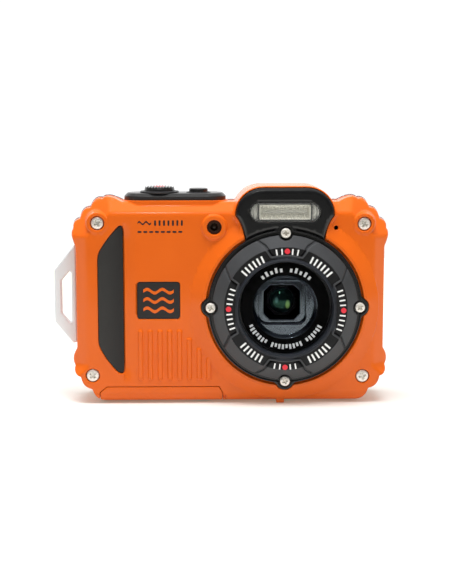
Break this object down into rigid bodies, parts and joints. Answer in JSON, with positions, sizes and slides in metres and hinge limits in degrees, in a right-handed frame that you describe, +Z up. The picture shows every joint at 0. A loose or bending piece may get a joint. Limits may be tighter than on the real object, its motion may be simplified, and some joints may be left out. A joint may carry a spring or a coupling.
{
  "type": "action camera",
  "caption": "Rugged waterproof compact action camera with lobed bumper corners, round screwed lens bezel, flash hump, finger grip, strap loop and sealed bottom door.",
  "frame": {"origin": "middle of the whole object's box, on the surface it stands on", "axes": "+Z up, -Y out of the lens, +X to the right as seen from the front"},
  "size_m": [0.1115, 0.0272, 0.0722],
  "materials": {
    "orange_shell": "satin moulded plastic",
    "grip_rubber": "matte",
    "seal_rubber": "matte",
    "black_plastic": "satin black",
    "bezel_grey": "satin dark grey",
    "panel_plastic": "satin near-black",
    "key_plastic": "satin dark grey",
    "red_plastic": "satin red",
    "screw_steel": "bright",
    "loop_metal": "satin silver",
    "lens_glass": "coated, polished",
    "clear_plastic": "clear, lightly ribbed",
    "reflector_metal": "satin bright",
    "screen_glass": "polished black",
    "circuit_board": "solder mask green",
    "battery_wrap": "satin",
    "brass_insert": "turned"
  },
  "bodies": {
    "casing": {"battery": "battery_wrap", "bezel_ring": "bezel_grey", "bezel_screw_1": "screw_steel", "bezel_screw_2": "screw_steel", "bezel_screw_3": "screw_steel", "bezel_screw_4": "screw_steel", "cover_gasket": "seal_rubber", "cover_screw_1": "screw_steel", "cover_screw_2": "screw_steel", "cover_screw_3": "screw_steel", "cover_screw_4": "screw_steel", "door_hinge_pin": "screw_steel", "flash_and_lens_plate": "black_plastic", "flash_capacitor": "black_plastic", "flash_reflector": "reflector_metal", "flash_tube": "clear_plastic", "flash_window": "clear_plastic", "focus_lamp_lens": "lens_glass", "front_badge": "black_plastic", "front_cover": "orange_shell", "front_grip": "grip_rubber", "front_lens": "lens_glass", "image_sensor": "circuit_board", "key_board": "circuit_board", "lens_baffle": "black_plastic", "lens_housing": "black_plastic", "lens_window": "lens_glass", "main_board": "circuit_board", "memory_card": "black_plastic", "microphone": "screw_steel", "power_collar": "grip_rubber", "prism": "clear_plastic", "rear_cover": "orange_shell", "screen_panel": "screen_glass", "screen_window": "screen_glass", "shutter_collar": "grip_rubber", "speaker": "black_plastic", "strap_loop": "loop_metal", "top_panel": "panel_plastic", "tripod_nut": "brass_insert", "usb_socket": "screw_steel", "window_mask": "black_plastic"},
    "shutter": {"shutter_button": "panel_plastic"},
    "power": {"power_button": "panel_plastic"},
    "zoom_lever": {"zoom_rocker": "key_plastic"},
    "door": {"battery_door": "orange_shell", "door_gasket": "seal_rubber"},
    "latch": {"door_latch": "panel_plastic"},
    "zoom_optics": {"zoom_group": "lens_glass"},
    "focus_optics": {"focus_group": "lens_glass"},
    "record_key": {"record_button": "red_plastic"},
    "delete_key": {"delete_button": "key_plastic"},
    "menu_key": {"menu_button": "key_plastic"},
    "playback_key": {"playback_button": "key_plastic"},
    "ok_key": {"ok_button": "key_plastic"},
    "arrow_right_key": {"arrow_right": "key_plastic"},
    "arrow_up_key": {"arrow_up": "key_plastic"},
    "arrow_left_key": {"arrow_left": "key_plastic"},
    "arrow_down_key": {"arrow_down": "key_plastic"}
  },
  "joints": [
    {"name": "shutter_press", "type": "slide", "parent": "casing", "child": "shutter", "axis": [0, 0, -1], "range_m": [0, 0.001], "stiffness_N_per_m": 900},
    {"name": "power_press", "type": "slide", "parent": "casing", "child": "power", "axis": [0, 0, -1], "range_m": [0, 0.0006], "stiffness_N_per_m": 1200},
    {"name": "zoom_rock", "type": "hinge", "parent": "casing", "child": "zoom_lever", "pos_m": [-0.0362, 0.0122, 0.056], "axis": [0, 0, 1], "range_deg": [-3, 3], "stiffness_Nm_per_rad": 0.02},
    {"name": "record_press", "type": "slide", "parent": "casing", "child": "record_key", "axis": [0, -1, 0], "range_m": [0, 0.0004], "stiffness_N_per_m": 1500},
    {"name": "delete_press", "type": "slide", "parent": "casing", "child": "delete_key", "axis": [0, -1, 0], "range_m": [0, 0.0004], "stiffness_N_per_m": 1500},
    {"name": "menu_press", "type": "slide", "parent": "casing", "child": "menu_key", "axis": [0, -1, 0], "range_m": [0, 0.0004], "stiffness_N_per_m": 1500},
    {"name": "playback_press", "type": "slide", "parent": "casing", "child": "playback_key", "axis": [0, -1, 0], "range_m": [0, 0.0004], "stiffness_N_per_m": 1500},
    {"name": "ok_press", "type": "slide", "parent": "casing", "child": "ok_key", "axis": [0, -1, 0], "range_m": [0, 0.0004], "stiffness_N_per_m": 1500},
    {"name": "arrow_right_press", "type": "slide", "parent": "casing", "child": "arrow_right_key", "axis": [0, -1, 0], "range_m": [0, 0.0004], "stiffness_N_per_m": 1500},
    {"name": "arrow_up_press", "type": "slide", "parent": "casing", "child": "arrow_up_key", "axis": [0, -1, 0], "range_m": [0, 0.0004], "stiffness_N_per_m": 1500},
    {"name": "arrow_left_press", "type": "slide", "parent": "casing", "child": "arrow_left_key", "axis": [0, -1, 0], "range_m": [0, 0.0004], "stiffness_N_per_m": 1500},
    {"name": "arrow_down_press", "type": "slide", "parent": "casing", "child": "arrow_down_key", "axis": [0, -1, 0], "range_m": [0, 0.0004], "stiffness_N_per_m": 1500},
    {"name": "door_hinge", "type": "hinge", "parent": "casing", "child": "door", "pos_m": [-0.03855, 0, 0.00145], "axis": [0, 1, 0], "range_deg": [0, 95]},
    {"name": "latch_slide", "type": "slide", "parent": "door", "child": "latch", "axis": [-1, 0, 0], "range_m": [0, 0.002]},
    {"name": "zoom_travel", "type": "slide", "parent": "casing", "child": "zoom_optics", "axis": [0, 0, 1], "range_m": [-0.0035, 0.0025]},
    {"name": "focus_travel", "type": "slide", "parent": "casing", "child": "focus_optics", "axis": [0, 0, 1], "range_m": [-0.002, 0.002]}
  ]
}
